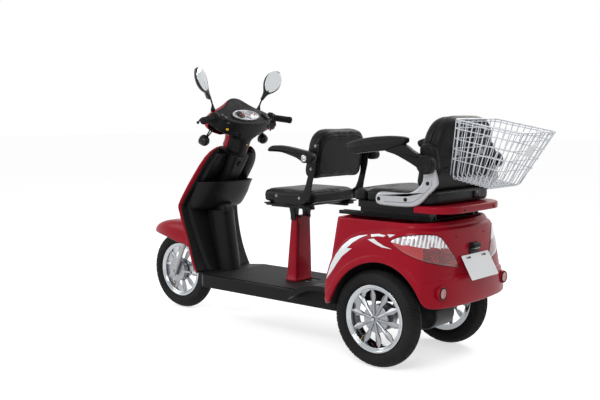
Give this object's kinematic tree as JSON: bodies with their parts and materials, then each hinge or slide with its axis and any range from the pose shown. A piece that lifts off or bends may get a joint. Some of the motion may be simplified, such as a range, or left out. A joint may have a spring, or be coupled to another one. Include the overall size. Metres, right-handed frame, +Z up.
{
  "type": "three-wheeled two-seat electric mobility scooter",
  "caption": "Battery-driven tricycle scooter with a steered front wheel, two driven rear wheels, a front and a rear seat with lifting armrests, and a wire basket.",
  "frame": {"origin": "floor level, midway between the mudguard tip and the basket rim, on the centreline", "axes": "+X forward along the vehicle, +Y to its left, +Z up"},
  "size_m": [2.292, 0.688, 1.2849],
  "materials": {
    "tyre": "matte",
    "cast_silver": "polished",
    "black_metal": "satin",
    "silver_metal": "satin",
    "grey_plastic": "matte",
    "red_paint": "metallic gloss",
    "black_plastic": "satin",
    "lamp_red": "gloss",
    "mat_rubber": "ribbed",
    "grip_rubber": "ribbed",
    "dial_plastic": "gloss",
    "clear_lens": "gloss",
    "seat_leather": "satin grain",
    "white_plate": "satin",
    "white_wire": "gloss"
  },
  "bodies": {
    "chassis": {"main_frame": "black_metal", "rear_axle": "black_metal", "drive_motor": "black_metal", "rear_shocks": "black_metal", "battery_block": "grey_plastic", "rear_body": "red_paint", "rear_arch_liners": "black_plastic", "rear_bumper": "red_paint", "tail_lamps": "lamp_red", "floorboard": "black_plastic", "floor_mat": "mat_rubber", "foot_steps": "black_plastic", "leg_shield_front": "red_paint", "leg_shield_inner": "black_plastic", "knee_box": "black_plastic", "column_cover": "black_plastic", "stem_cover": "black_plastic", "front_seat_post": "red_paint", "seat_column": "black_metal", "front_seat_frame": "black_metal", "front_seat_cushion": "seat_leather", "front_seat_back": "seat_leather", "rear_seat_rails": "black_metal", "plate_holder": "black_plastic", "number_plate": "white_plate", "bumper_lamps": "lamp_red"},
    "rear_wheel_left": {"rear_rim_left": "cast_silver", "rear_tyre_left": "tyre"},
    "rear_wheel_right": {"rear_rim_right": "cast_silver", "rear_tyre_right": "tyre"},
    "steering": {"fork": "silver_metal", "front_brake": "silver_metal", "front_mudguard": "red_paint", "handlebar": "black_metal", "grips": "grip_rubber", "brake_levers": "black_metal", "cowl_front": "red_paint", "cowl_rear": "black_plastic", "instrument_cluster": "dial_plastic", "headlamp": "clear_lens", "turn_lamps": "black_plastic", "mirror_left": "black_plastic", "mirror_right": "black_plastic"},
    "front_wheel": {"front_rim": "cast_silver", "front_tyre": "tyre"},
    "front_arm_left": {"front_armrest_left": "black_plastic"},
    "front_arm_right": {"front_armrest_right": "black_plastic"},
    "rear_seat": {"rear_seat_frame": "black_metal", "rear_seat_cushion": "seat_leather", "rear_seat_back": "seat_leather", "rear_seat_shell": "seat_leather", "rear_seat_brackets": "silver_metal", "tail_panel": "red_paint", "basket": "white_wire"},
    "rear_arm_left": {"rear_armrest_left": "black_plastic"},
    "rear_arm_right": {"rear_armrest_right": "black_plastic"}
  },
  "joints": [
    {"name": "rear_wheel_left_spin", "type": "hinge", "parent": "chassis", "child": "rear_wheel_left", "pos_m": [-0.573, 0.273, 0.208], "axis": [0, 1, 0], "continuous": true},
    {"name": "rear_wheel_right_spin", "type": "hinge", "parent": "chassis", "child": "rear_wheel_right", "pos_m": [-0.573, -0.273, 0.208], "axis": [0, 1, 0], "continuous": true},
    {"name": "steer", "type": "hinge", "parent": "chassis", "child": "steering", "pos_m": [0.63398, 0, 0.74728], "axis": [-0.4384, 0, 0.8988], "range_deg": [-38, 38]},
    {"name": "front_wheel_spin", "type": "hinge", "parent": "steering", "child": "front_wheel", "pos_m": [0.921, 0, 0.208], "axis": [0, 1, 0], "continuous": true},
    {"name": "front_arm_left_lift", "type": "hinge", "parent": "chassis", "child": "front_arm_left", "pos_m": [-0.142, 0.241, 0.862], "axis": [0, -1, 0], "range_deg": [0, 95]},
    {"name": "front_arm_right_lift", "type": "hinge", "parent": "chassis", "child": "front_arm_right", "pos_m": [-0.142, -0.241, 0.862], "axis": [0, -1, 0], "range_deg": [0, 95]},
    {"name": "rear_seat_slide", "type": "slide", "parent": "chassis", "child": "rear_seat", "axis": [1, 0, 0], "range_m": [-0.02, 0.06]},
    {"name": "rear_arm_left_lift", "type": "hinge", "parent": "rear_seat", "child": "rear_arm_left", "pos_m": [-0.79, 0.276, 0.866], "axis": [0, -1, 0], "range_deg": [0, 85]},
    {"name": "rear_arm_right_lift", "type": "hinge", "parent": "rear_seat", "child": "rear_arm_right", "pos_m": [-0.79, -0.276, 0.866], "axis": [0, -1, 0], "range_deg": [0, 85]}
  ]
}
